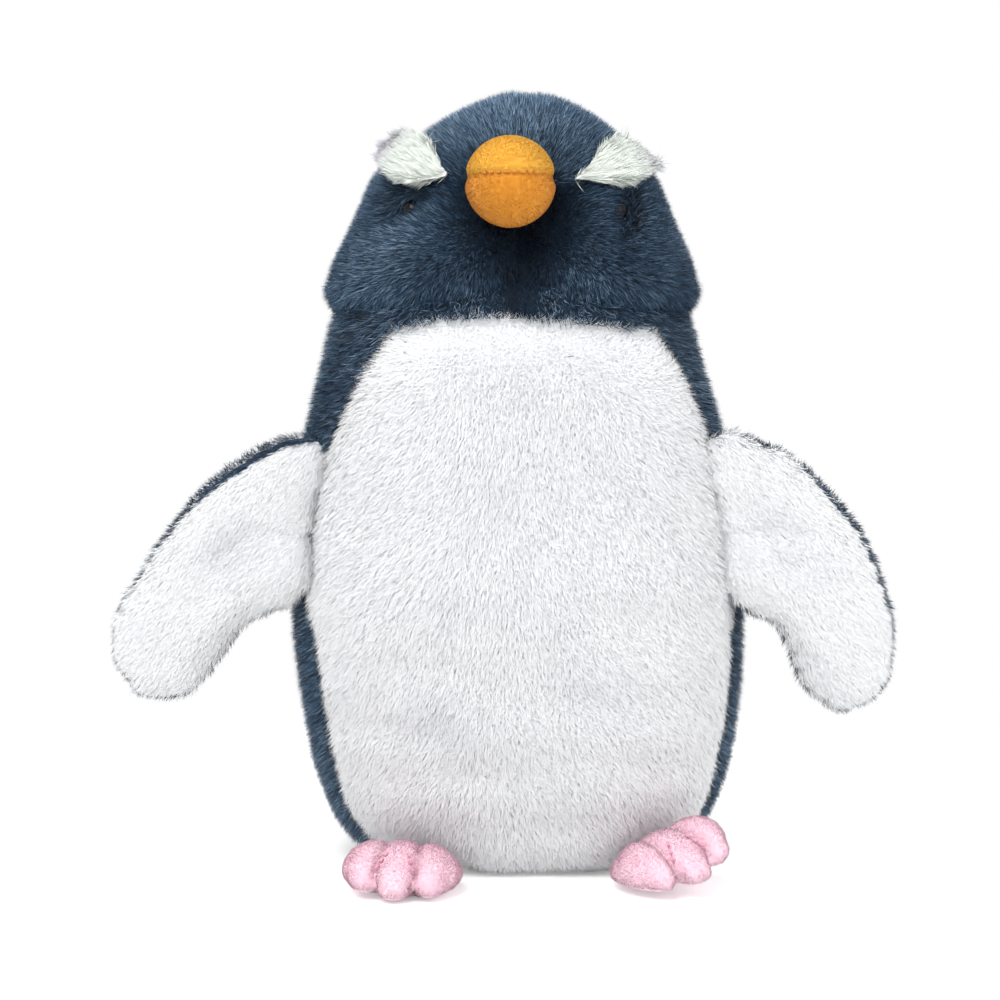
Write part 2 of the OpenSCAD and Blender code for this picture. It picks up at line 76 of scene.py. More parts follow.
# soft creases of the belly in millimetres: from (x, z) to (x, z), depth and width
BELLY_CREASES = (
    ((-58, 52), (-18, 46), 1.8, 4.5), ((-8, 60), (52, 56), 1.7, 5), ((-52, 34), (6, 37), 1.7, 4.5),
    ((16, 40), (64, 36), 1.8, 4.5), ((-40, 70), (-4, 66), 1.2, 5), ((7, 74), (9, 22), 1.7, 4),
    ((-30, 20), (40, 22), 1.3, 4.5), ((30, 84), (66, 78), 1.2, 5), ((2, 6), (4, 16), 2.0, 4),
)
# the dent in each wing's front, in the same way
WING_DENTS = {"left": ((79, 114), (89, 99), 3.0, 5.5), "right": ((-77, 111), (-101, 90), 3.6, 5.5)}


def linear(code):
    """A colour written as sRGB hex, as linear red, green and blue."""
    parts = [int(code[i : i + 2], 16) / 255 for i in (1, 3, 5)]
    return [c / 12.92 if c <= 0.04045 else ((c + 0.055) / 1.055) ** 2.4 for c in parts]


# ---------------------------------------------------------------- settings


class ToySizes(bpy.types.PropertyGroup):
    """Lengths, width and number of the pile's strands"""

    navy_pile: bpy.props.FloatProperty(
        name="Navy pile", description="Length of the navy pile", default=5.7 * MM, unit="LENGTH"
    )
    white_pile: bpy.props.FloatProperty(
        name="White pile", description="Length of the white pile", default=4.8 * MM, unit="LENGTH"
    )
    brow_pile: bpy.props.FloatProperty(
        name="Brow pile", description="Length of the brow tufts' pile", default=5.5 * MM, unit="LENGTH"
    )
    fleece_pile: bpy.props.FloatProperty(
        name="Fleece nap", description="Length of the nap on beak and feet", default=0.5 * MM, unit="LENGTH"
    )
    strand: bpy.props.FloatProperty(
        name="Strand", description="Width of a lock of pile fibres", default=0.27 * MM, unit="LENGTH"
    )
    density: bpy.props.FloatProperty(
        name="Density", description="Share of the full number of strands", default=1.0, min=0.05, max=1.0
    )


def colour(name, description, code):
    return bpy.props.FloatVectorProperty(
        name=name, description=description, default=linear(code), size=3, subtype="COLOR", min=0, max=1
    )


class ToyColours(bpy.types.PropertyGroup):
    """Colours of the pile, the fleece and the floor"""

    navy: colour("Navy", "Middle colour of the navy pile", "#26445f")
    # the roots of the navy strands: painted shade deep in the pile
    navy_painted_shade: colour("Navy root", "Colour deep in the navy pile", "#0b1725")
    # the palest navy strands: painted glints
    navy_painted_glint: colour("Navy tip", "Palest fibres of the navy pile", "#8fabc4")
    white: colour("White", "Middle colour of the white pile", "#f6f7f8")
    # the roots of the white strands: painted shade deep in the pile
    white_shade: colour("White root", "Colour deep in the white pile", "#dcdfe4")
    cream: colour("Brow", "Middle colour of the brow tufts", "#d6dcd5")
    orange: colour("Beak", "Upper half of the beak", "#f2bb42")
    # the lower half of the beak is darker: partly its own colour, partly painted shade as light falls from above
    amber_and_painted_shade: colour("Beak below", "Lower half of the beak", "#e29726")
    pink: colour("Feet", "Fleece of the feet", "#fcd8e5")
    floor: colour("Floor", "Floor and backdrop", "#f4f4f4")


# ---------------------------------------------------------------- materials


def add(tree, kind, links=None, **values):
    """Adds a node, sets its properties and sockets, and links the sockets named in links."""
    made = tree.nodes.new(kind)
    for key, value in values.items():
        if hasattr(made, key):
            setattr(made, key, value)
        else:
            made.inputs[key.replace("_", " ")].default_value = value
    for key, source in (links or {}).items():
        tree.links.new(source, made.inputs[key])
    return made


def new_material(name):
    made = bpy.data.materials.new(name)
    made.use_nodes = True
    made.node_tree.nodes.clear()
    return made, made.node_tree


def rgba(colour3, factor=1.0):
    return [min(1.0, c * factor) for c in colour3] + [1.0]


def between(a, b, t):
    """The colour a share t of the way from a to b."""
    return [x + (y - x) * t for x, y in zip(a, b)]


def pile_material(name, stops, root, roughness, sheen):
    """Polyester pile, cut and brushed: fibres vary in shade from one to the next, darken towards
    their roots as painted shade deep in the pile, and their sides catch a soft silky light."""
    made, tree = new_material(name)
    strand = add(tree, "ShaderNodeUVMap", uv_map="OFBake")
    parts = add(tree, "ShaderNodeSeparateXYZ", {0: strand.outputs["UV"]})
    ramp = add(tree, "ShaderNodeValToRGB", {0: parts.outputs["X"]})
    while len(ramp.color_ramp.elements) < len(stops):
        ramp.color_ramp.elements.new(0.5)
    for element, (at, shade) in zip(ramp.color_ramp.elements, stops):
        element.position = at
        element.color = rgba(shade)
    # strands blend into the root colour towards their roots: painted shade deep in the pile
    depth = add(
        tree, "ShaderNodeMapRange", {0: parts.outputs["Y"]}, interpolation_type="SMOOTHSTEP", From_Max=0.85
    )
    mix = add(
        tree, "ShaderNodeMix", {"Factor": depth.outputs["Result"], 7: ramp.outputs["Color"]}, data_type="RGBA"
    )
    mix.inputs[6].default_value = rgba(root)
    gloss = add(
        tree, "ShaderNodeMapRange", {0: parts.outputs["X"]}, To_Min=roughness + 0.12, To_Max=roughness - 0.1
    )
    shader = add(
        tree,
        "ShaderNodeBsdfPrincipled",
        {"Base Color": mix.outputs[2], "Roughness": gloss.outputs["Result"]},
        Specular_IOR_Level=0.2,
        Sheen_Weight=sheen,
        Sheen_Roughness=0.4,
        IOR=1.54,
    )
    add(tree, "ShaderNodeOutputMaterial", {"Surface": shader.outputs[0]})
    return made


def fabric_material(name, base, shade, grain, depth_mm, roughness, sheen):
    """Knitted polyester, brushed: a soft uneven nap, mottled at random with shade, which also fills the
    hollows of its bump as painted shade. grain is the size in millimetres of its tufts, and depth_mm how far they
    stand up."""
    made, tree = new_material(name)
    where = add(tree, "ShaderNodeTexCoord")
    blot = add(
        tree, "ShaderNodeTexNoise", {"Vector": where.outputs["Object"]}, Scale=1000 / (grain * 9), Detail=3.0
    )
    nap = add(
        tree, "ShaderNodeTexNoise", {"Vector": where.outputs["Object"]}, Scale=1000 / grain, Detail=4.0,
        Roughness=0.7,
    )
    both = add(tree, "ShaderNodeMath", {0: blot.outputs[0], 1: nap.outputs[0]}, operation="ADD")
    # the shade colour follows the bump's nap noise too, so the hollows get painted shade
    ramp = add(tree, "ShaderNodeValToRGB", {0: both.outputs[0]})
    ramp.color_ramp.elements[0].position = 0.75
    ramp.color_ramp.elements[0].color = rgba(shade)
    ramp.color_ramp.elements[1].position = 1.2
    ramp.color_ramp.elements[1].color = rgba(base)
    rough = add(
        tree, "ShaderNodeMapRange", {0: nap.outputs[0]}, To_Min=roughness - 0.08, To_Max=min(1.0, roughness + 0.08)
    )
    bump = add(tree, "ShaderNodeBump", {"Height": nap.outputs[0]}, Strength=0.6, Distance=depth_mm * MM)
    shader = add(
        tree,
        "ShaderNodeBsdfPrincipled",
        {"Base Color": ramp.outputs[0], "Roughness": rough.outputs[0], "Normal": bump.outputs[0]},
        Sheen_Weight=sheen,
        Sheen_Roughness=0.5,
        IOR=1.54,
    )
    add(tree, "ShaderNodeOutputMaterial", {"Surface": shader.outputs[0]})
    return made


def plastic_material(name, base, roughness, shine=0.5):
    """Moulded plastic: smooth, with faint scuffs. A low roughness makes it glint."""
    made, tree = new_material(name)
    where = add(tree, "ShaderNodeTexCoord")
    scuff = add(tree, "ShaderNodeTexNoise", {"Vector": where.outputs["Object"]}, Scale=1000 / 1.2, Detail=2.0)
    rough = add(tree, "ShaderNodeMapRange", {0: scuff.outputs[0]}, To_Min=roughness, To_Max=roughness + 0.1)
    shader = add(
        tree, "ShaderNodeBsdfPrincipled", {"Roughness": rough.outputs[0]}, Base_Color=rgba(base), IOR=1.54,
        Specular_IOR_Level=shine,
    )
    add(tree, "ShaderNodeOutputMaterial", {"Surface": shader.outputs[0]})
    return made


# ---------------------------------------------------------------- stuffed skins


def new_object(bm, name):
    """A bmesh as a new object of the scene."""
    mesh = bpy.data.meshes.new(name)
    bm.to_mesh(mesh)
    bm.free()
    made = bpy.data.objects.new(name, mesh)
    bpy.context.scene.collection.objects.link(made)
    return made


def copy_of(nodes, name):
    """CAD nodes as one new merged mesh object."""
    bm = bmesh.new()
    for n in nodes:
        bm.from_mesh(frame["nodes"][n].data)
    bmesh.ops.remove_doubles(bm, verts=bm.verts, dist=0.02 * MM)
    return new_object(bm, name)


def relax(bm, times):
    """Smooths all of a bmesh a number of times."""
    for _ in range(times):
        bmesh.ops.smooth_vert(bm, verts=bm.verts, factor=0.5, use_axis_x=True, use_axis_y=True, use_axis_z=True)


def smooth_faces(mesh):
    mesh.polygons.foreach_set("use_smooth", [True] * len(mesh.polygons))


def apply_modifiers(obj):
    mesh = bpy.data.meshes.new_from_object(obj.evaluated_get(bpy.context.evaluated_depsgraph_get()))
    obj.modifiers.clear()
    old, obj.data = obj.data, mesh
    mesh.name = obj.name
    bpy.data.meshes.remove(old)


def points(obj):
    co = np.zeros(len(obj.data.vertices) * 3, np.float32)
    obj.data.vertices.foreach_get("co", co)
    return co.reshape(-1, 3).astype(float)


def set_points(obj, co):
    obj.data.vertices.foreach_set("co", co.astype(np.float32).ravel())
    obj.data.update()


def normals(obj):
    n = np.zeros(len(obj.data.vertices) * 3, np.float32)
    obj.data.vertex_normals.foreach_get("vector", n)
    return n.reshape(-1, 3).astype(float)


def stuffed(nodes, name, voxel, swell, pressure, cap, smooth=6):
    """A padded skin from CAD nodes: remeshed, swollen by a cloth simulation that is capped,
    smoothed, and moved outwards by swell."""
    obj = copy_of(nodes, name)
    remesh = obj.modifiers.new("remesh", "REMESH")
    remesh.mode = "VOXEL"
    remesh.voxel_size = voxel
    apply_modifiers(obj)
    start = points(obj)
    if pressure:
        cloth = obj.modifiers.new("cloth", "CLOTH")
        cloth.settings.use_pressure = True
        cloth.settings.uniform_pressure_force = pressure
        cloth.settings.effector_weights.gravity = 0
        cloth.settings.tension_stiffness = 20
        cloth.settings.bending_stiffness = 0.8
        scene, frames = bpy.context.scene, 14
        for at in range(1, frames + 1):
            scene.frame_set(at)
        apply_modifiers(obj)
        scene.frame_set(1)
        move = points(obj) - start
        far = np.linalg.norm(move, axis=1, keepdims=True)
        set_points(obj, start + move * np.minimum(1, cap / np.maximum(far, 1e-9)))
    bm = bmesh.new()
    bm.from_mesh(obj.data)
    relax(bm, smooth)
    bmesh.ops.subdivide_edges(bm, edges=bm.edges, cuts=1, use_grid_fill=True, smooth=0.6)
    bm.to_mesh(obj.data)
    bm.free()
    set_points(obj, points(obj) + normals(obj) * swell)
    smooth_faces(obj.data)
    return obj


def distance_to(co, *nodes):
    """The distance of points to the nearest of some CAD nodes' surfaces."""
    far = np.full(len(co), 1e9)
    for node in nodes:
        mesh = frame["nodes"][node].data
        tree = BVHTree.FromPolygons([v.co for v in mesh.vertices], [tuple(p.vertices) for p in mesh.polygons])
        far = np.minimum(far, [tree.find_nearest(Vector(p))[3] for p in co])
    return far


def bell(d, width):
    """1 at distance 0, and falling off smoothly over width."""
    return np.exp(-(d**2) / (2 * width**2))


def valley(co, a, b, depth, width):
    """How deep a soft crease from a to b, seen from the front, presses in at points co."""
    a, b = np.array(a) * MM, np.array(b) * MM
    p = co[:, [0, 2]]
    t = np.clip(((p - a) @ (b - a)) / ((b - a) @ (b - a)), 0, 1)
    d = np.linalg.norm(p - (a + t[:, None] * (b - a)), axis=1)
    fade = np.sin(np.pi * (0.12 + 0.76 * t))
    return depth * MM * fade * bell(d, width * MM)


# ---------------------------------------------------------------- pile


class Skin:
    """Triangles, normals and one number per vertex of a skin, to sample roots from."""

    def __init__(self, obj, field=None):
        mesh = obj.data
        mesh.calc_loop_triangles()
        self.tri = np.zeros(len(mesh.loop_triangles) * 3, np.int32)
        mesh.loop_triangles.foreach_get("vertices", self.tri)
        self.tri = self.tri.reshape(-1, 3)
        self.co, self.no = points(obj), normals(obj)
        self.field = np.zeros(len(self.co)) if field is None else field
        a, b, c = (self.co[self.tri[:, i]] for i in range(3))
        self.area = np.linalg.norm(np.cross(b - a, c - a), axis=1) / 2

    def sample(self, count, rng, keep):
        """The places and normals of count random roots where keep(place, normal, field, margin)
        holds. Triangles are picked with a margin round the area, and roots without one."""
        margin = 4 * MM
        middle = self.co[self.tri].mean(1)
        weight = self.area * (keep(middle, self.no[self.tri].mean(1), self.field[self.tri].mean(1), margin) > 0)
        weight = weight / weight.sum()
        pick = rng.choice(len(self.tri), int(count * 1.25), p=weight)
        r = rng.random((len(pick), 2))
        flip = r.sum(1) > 1
        r[flip] = 1 - r[flip]
        w = np.stack([1 - r.sum(1), r[:, 0], r[:, 1]], 1)[:, :, None]
        t = self.tri[pick]
        p, n = (self.co[t] * w).sum(1), (self.no[t] * w).sum(1)
        n /= np.linalg.norm(n, axis=1, keepdims=True)
        f = (self.field[t] * w[:, :, 0]).sum(1)
        ok = np.flatnonzero(keep(p, n, f, 0.0) > 0)[:count]
        return p[ok], n[ok]


def unit(v):
    return v / np.maximum(np.linalg.norm(v, axis=1, keepdims=True), 1e-9)


def wave(p, size, seed):
    """A soft wavy number from -1 to 1 that changes over about size metres."""
    rng = np.random.default_rng(seed)
    total = np.zeros(len(p))
    for k in range(5):
        d = rng.normal(size=3)
        d /= np.linalg.norm(d)
        total += np.sin(p @ d * (2 * math.pi / size) * rng.uniform(0.6, 1.5) + rng.uniform(0, 6.28))
    return total / 3.2


def grow(
    name, skin, keep, count, length, comb, lift, seed,
    curl=18, clump=0.3, spread=0.22, width=1.0, tint=None, vary=0.6, soft=0.72,
):
    """A piece of pile: count strands that root on skin where keep(place, normal, field, margin)
    holds, lie along comb(place, normal) and stand lift degrees off it. Each strand is one narrow bent leaf of two
    faces. The settings: curl in degrees from root to tip; clump, how far tips lean together;
    spread, how far strands stray from the comb; width, a share of the usual strand; tint, added
    to the shade at a place; vary, how much the shade changes from strand to strand; and soft,
    the share of the skin in the strand's shading."""
    scene = bpy.context.scene
    share = scene.toy_sizes.density * 1
    count = int(count * share)
    rng = np.random.default_rng(seed)
    p, n = skin.sample(count, rng, keep)
    count = len(p)
    t = comb(p, n)
    t = t + rng.normal(size=(count, 3)) * spread
    t = unit(t - n * (t * n).sum(1, keepdims=True))
    long = (length(p, n) if callable(length) else length) * rng.uniform(0.75, 1.12, count)
    high = lift(p, n) if callable(lift) else lift
    a1 = np.radians(high + rng.normal(size=count) * 8 + 6 * wave(p, 0.018, seed + 5))
    a2 = a1 - np.radians(curl + rng.normal(size=count) * 8)
    d1 = n * np.sin(a1)[:, None] + t * np.cos(a1)[:, None]
    d2 = n * np.sin(a2)[:, None] + t * np.cos(a2)[:, None]
    mid = p + d1 * (long * 0.5)[:, None]
    tip = mid + d2 * (long * 0.5)[:, None]
    if clump:
        lead = rng.choice(count, max(8, count // 14), replace=False)
        tree = kdtree.KDTree(len(lead))
        for i, k in enumerate(lead):
            tree.insert(p[k], i)
        tree.balance()
        near = lead[np.array([tree.find(x)[1] for x in p])]
        pull = np.clip(clump * rng.uniform(0.2, 1.5, count), 0, 0.9)[:, None]
        tip = tip + (tip[near] - tip) * pull
        mid = mid + (mid[near] - mid) * pull * 0.35
    # strands that reach the table lie on it
    mid[:, 2], tip[:, 2] = np.maximum(mid[:, 2], TABLE_GAP), np.maximum(tip[:, 2], TABLE_GAP)
    side = unit(np.cross(tip - p, n))
    roll = rng.normal(size=count) * 0.6
    side = side * np.cos(roll)[:, None] + n * np.sin(roll)[:, None]
    half = scene.toy_sizes.strand * width * 0.5 * rng.uniform(0.7, 1.25, count) / math.sqrt(share)
    side = side * half[:, None]
    co = np.stack([p - n * ROOT_DEPTH, mid + side, mid - side, tip], 1).reshape(-1, 3)
    base = np.arange(count)[:, None] * 4
    faces = np.concatenate([base + [0, 1, 2], base + [1, 3, 2]], 1).reshape(-1, 3)
    mesh = bpy.data.meshes.new(name)
    mesh.vertices.add(len(co))
    mesh.vertices.foreach_set("co", co.astype(np.float32).ravel())
    mesh.loops.add(faces.size)
    mesh.loops.foreach_set("vertex_index", faces.astype(np.int32).ravel())
    mesh.polygons.add(len(faces))
    mesh.polygons.foreach_set("loop_start", (np.arange(len(faces)) * 3).astype(np.int32))
    mesh.update()
    smooth_faces(mesh)
    shade = 0.5 + (rng.random(count) - 0.5) * vary + 0.1 * wave(p, 0.03, seed + 9)
    if tint:
        shade = shade + tint(p, n)
    shade = np.clip(shade, 0.02, 0.98)
    u = shade[:, None] + np.array([0, 0.003, -0.003, 0])
    v = np.tile([0.02, 0.5, 0.5, 0.98], (count, 1))
    uv = np.stack([u, v], 2).reshape(-1, 2)[faces.ravel()]
    layer = mesh.uv_layers.new(name="OFBake")
    layer.uv.foreach_set("vector", uv.astype(np.float32).ravel())
    # fibres scatter light through the whole pile, so shading follows the skin more than the leaf
    leaf = unit(np.cross(side, tip - p))
    leaf = leaf * np.sign((leaf * n).sum(1, keepdims=True) + 1e-9)
    hard = 1 - soft
    edge = 0.5 * hard * unit(side)
    bend = soft * n + hard * leaf
    end = unit((soft - 0.1) * n + (hard + 0.1) * leaf)
    custom = np.stack([n, unit(bend + edge), unit(bend - edge), end], 1).reshape(-1, 3)
    mesh.normals_split_custom_set_from_vertices(custom.astype(np.float32))
    obj = bpy.data.objects.new(name, mesh)
    scene.collection.objects.link(obj)
    return obj


def paint(obj, *looks):
    """Gives an object these materials, in this order."""
    obj.data.materials.clear()
    for look in looks:
        obj.data.materials.append(look)


def two_tone(obj, field):
    """Gives faces where field is above 0 the object's second material."""
    tri = np.array([np.mean(field[list(p.vertices)]) for p in obj.data.polygons])
    obj.data.polygons.foreach_set("material_index", (tri > 0).astype(np.int32))


def materials():
    """The pile and backing materials that several pieces share, made on the first call."""
    shared = {
        "navy": "Navy polyester pile", "white": "White polyester pile", "cream": "Off-white polyester pile",
        "navy_knit": "Navy knit backing", "white_knit": "White knit backing",
    }
    have = {key: bpy.data.materials.get(name) for key, name in shared.items()}
    if all(have.values()):
        return have
    c = bpy.context.scene.toy_colours
    navy, dark, glint = list(c.navy), list(c.navy_painted_shade), list(c.navy_painted_glint)
    white, shade = list(c.white), list(c.white_shade)
    return {
        # dyed pile: painted shade, near black, deep between the strands, and painted glints on the palest fibres on
        # top
        "navy": pile_material(
            "Navy polyester pile",
            [(0.0, dark), (0.3, between(dark, navy, 0.6)), (0.6, navy), (0.86, between(navy, glint, 0.35)),
             (1.0, glint)],
            dark, 0.55, 0.06,
        ),
        # undyed pile: bright and even; its roots a little darker, and a cool grey-lilac at the wings' rims and in
        # their dents, both painted shade
        "white": pile_material(
            "White polyester pile",
            [(0.0, linear("#a5a3b6")), (0.2, between(shade, white, 0.4)), (0.5, white), (1.0, white)],
            between(shade, white, 0.75), 0.6, 0.1,
        ),
        # long straight pile: silky streaks, greenish white, with lilac-grey ends, and roots a little darker, painted
        # shade
        "cream": pile_material(
            "Off-white polyester pile",
            [(0.0, linear("#a7a2b0")), (0.28, linear("#c6c3cd")), (0.5, list(c.cream)), (1.0, linear("#eff4ee"))],
            linear("#c3cbc1"), 0.5, 0.1,
        ),
        # the backing shows only as a dull ground where the pile parts
        "navy_knit": fabric_material("Navy knit backing", between(dark, navy, 0.4), dark, 0.9, 0.3, 0.9, 0.2),
        "white_knit": fabric_material("White knit backing", between(shade, white, 0.6), shade, 0.9, 0.3, 0.9, 0.1),
    }


# ---------------------------------------------------------------- pieces


class TOY_OT_body(bpy.types.Operator):
    """Stuffed body skin with white belly pile and navy back pile"""

    bl_idname = "toy.body"
    bl_label = "Body"

    def execute(self, context):
        mat, sizes = materials(), context.scene.toy_sizes
        skin = stuffed(["body_stuffing"], "body_skin", 5 * MM, 2.0 * MM, 2.0, 1.5 * MM)
        co, no = points(skin), normals(skin)
        front = np.clip(-no[:, 1], 0, 1)
        press = sum(valley(co, *crease) for crease in BELLY_CREASES)
        set_points(skin, co - no * (press * front)[:, None])
        # stuffing has settled a little towards the toy's left, low down
        co = points(skin)
        low = np.clip((0.12 - co[:, 2]) / 0.08, 0, 1)
        high = np.clip((co[:, 2] - 0.135) / 0.025, 0, 1)
        co[:, 0] = co[:, 0] * (1 + 0.02 * low - 0.03 * high) + (2.4 * low - 0.9 * high) * MM
        set_points(skin, co)
        # the pellets make the belly sag between the feet, and a little over their tops
        co = points(skin)
        sag = np.clip((30 * MM - co[:, 2]) / (20 * MM), 0, 1) * np.clip((-10 * MM - co[:, 1]) / (20 * MM), 0, 1)
        between_feet = np.clip((co[:, 0] + 18 * MM) / (8 * MM), 0, 1) * np.clip((37 * MM - co[:, 0]) / (8 * MM), 0, 1)
        co[:, 2] = np.maximum(co[:, 2] - sag * (1.2 + 3.2 * between_feet) * MM, np.minimum(co[:, 2], 3 * MM))
        set_points(skin, co)
        # the belly's white is brushed a little towards the toy's left
        turn = math.radians(-4)
        co = points(skin)
        moved = co.copy()
        moved[:, 0] = co[:, 0] * math.cos(turn) - co[:, 1] * math.sin(turn)
        moved[:, 1] = co[:, 0] * math.sin(turn) + co[:, 1] * math.cos(turn)
        field = distance_to(
            moved, "chin_panel", "back_panel_left", "back_panel_right", "base_panel"
        ) - distance_to(moved, "belly_panel")
        field = np.where(co[:, 2] > 0.18, -0.002, field)
        # the white pile's backing stands out a little round the belly
        set_points(skin, co + normals(skin) * (1.6 * MM * np.clip(field / (6 * MM), 0, 1))[:, None])
        # the wings' roots cover the body's side, whose pile is white there
        for word in ("left", "right"):
            at = np.array(JOINTS[f"wing_{word}_fold"]["pos_m"])
            rise = co[:, 2] - at[2]
            near = np.clip((rise + 33 * MM) / (6 * MM), 0, 1) * np.clip((24 * MM - rise) / (8 * MM), 0, 1)
            ahead = np.clip((-19 * MM - co[:, 1]) / (6 * MM), 0, 1) * (co[:, 0] * at[0] > 0)
            field = field + 9 * MM * near * ahead
        # the white turns in under the front of the base
        under = np.clip((14 * MM - co[:, 2]) / (4 * MM), 0, 1) * np.clip((-26 * MM - co[:, 1]) / (6 * MM), 0, 1)
        field = field + 8 * MM * under
        # the white starts lower under the chin
        field = field - 0.5 * MM * np.clip((co[:, 2] - 0.155) / 0.015, 0, 1)
        paint(skin, mat["navy_knit"], mat["white_knit"])
        two_tone(skin, field)
        roots = Skin(skin, field)

        def down(p, n):
            """Back pile lies down and a little outwards."""
            return np.stack([p[:, 0] * 6, 0 * p[:, 0], np.full(len(p), -1.0)], 1)

        def out(p, n):
            """Belly pile lies down and outwards, and upwards and outwards at the top."""
            up = np.clip((p[:, 2] - 0.14) / 0.03, 0, 1)
            return np.stack([p[:, 0] * 13, 0 * up, -0.9 + 1.2 * up], 1) + 0.25 * np.stack(
                [wave(p, 0.05, 3), 0 * up, wave(p, 0.05, 4)], 1
            )

        def parting(p, n):
            """Back pile is a little lighter all over, and darker along the parting at the front of the neck: painted
            shade in the crease under the chin.
            """
            return 0.08 - 0.6 * bell(p[:, 0] - 1.5 * MM, 3.8 * MM) * (p[:, 2] > 0.16) * (p[:, 1] < -0.02)

        made = []
        for name, low, high, seed, count in (
            ("belly_pile_low", 0.0, 0.092, 11, 98000), ("belly_pile_high", 0.092, 0.2, 12, 92000)
        ):
            made.append(grow(
                name, roots, lambda p, n, f, s, lo=low, hi=high: (f > -s) & (p[:, 2] > lo - s) & (p[:, 2] < hi + s),
                count, lambda p, n: sizes.white_pile * (1 - 0.3 * np.clip((p[:, 2] - 0.158) / 0.01, 0, 1)), out, 44,
                seed, clump=0.06, spread=0.32, vary=0.2, width=0.75, soft=0.92,
            ))
            paint(made[-1], mat["white"])
        for name, side, seed in (("back_pile_left", 1, 13), ("back_pile_right", -1, 14)):
            made.append(grow(
                name, roots,
                lambda p, n, f, s, k=side: (f < s) & (p[:, 0] * k > -s) & (p[:, 2] < 0.195 + s)
                & (n[:, 2] > -0.8 - 50 * s),
                92000, sizes.navy_pile, down, 66, seed, curl=10, clump=0.15, spread=0.5, vary=0.9, width=0.85,
                tint=parting, soft=0.6,
            ))
            paint(made[-1], mat["navy"])
        made.append(grow(
            "base_pile", roots, lambda p, n, f, s: (n[:, 2] < -0.8 + 50 * s) & (p[:, 1] > -0.026 - s),
            14000, 3.5 * MM, lambda p, n: p * [1, 1, 0], 14, 15,
        ))
        paint(made[-1], mat["navy"])
        for o in (skin, *made):
            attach(o, "torso")
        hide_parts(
            "belly_panel", "chin_panel", "back_panel_left", "back_panel_right", "base_panel", "body_stuffing",
            "pellet_bag",
        )
        return {"FINISHED"}


def neck_blend(obj):
    """Bakes the object's transform into its mesh."""
    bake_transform(obj)


def beak_middle():
    """The middle and the radius of the beak's ball."""
    low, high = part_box("beak_upper")
    r = (high.x - low.x) / 2
    return np.array([(low.x + high.x) / 2, low.y + r, high.z - r]), r


def eye_places():
    """The middles of the left and the right eye bead."""
    return [np.array([(a + b) / 2 for a, b in zip(*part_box(n))]) for n in ("eye_left", "eye_right")]


